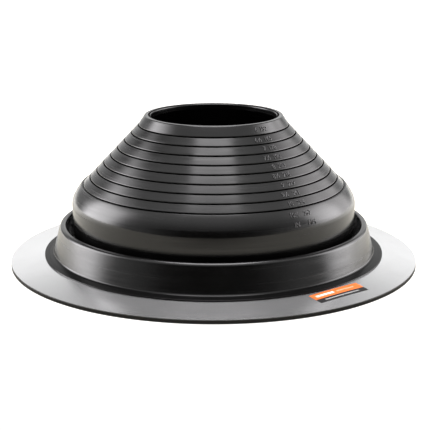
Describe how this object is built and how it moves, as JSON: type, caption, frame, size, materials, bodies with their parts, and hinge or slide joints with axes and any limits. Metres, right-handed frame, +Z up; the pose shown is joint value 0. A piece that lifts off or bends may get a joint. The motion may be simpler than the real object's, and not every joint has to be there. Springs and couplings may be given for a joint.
{
  "type": "pipe flashing boot",
  "caption": "Round rubber roof flashing for a pipe: a banded cone trimmed to the pipe's size, hung in a folded collar on a flat base with a soft aluminium ring.",
  "frame": {"origin": "centre of the underside of the base, on the roof", "axes": "+Z up along the pipe's axis, away from the roof; -Y is the side seen from the front, and the label lies between the front and +X"},
  "size_m": [0.4, 0.4, 0.1444],
  "materials": {
    "rubber": "smooth moulded black rubber, satin",
    "aluminium": "bright mill finish, satin",
    "label": null
  },
  "bodies": {
    "root": {"rubber_boot": "rubber", "aluminium_ring": "aluminium", "ring_label": "label"}
  },
  "joints": []
}
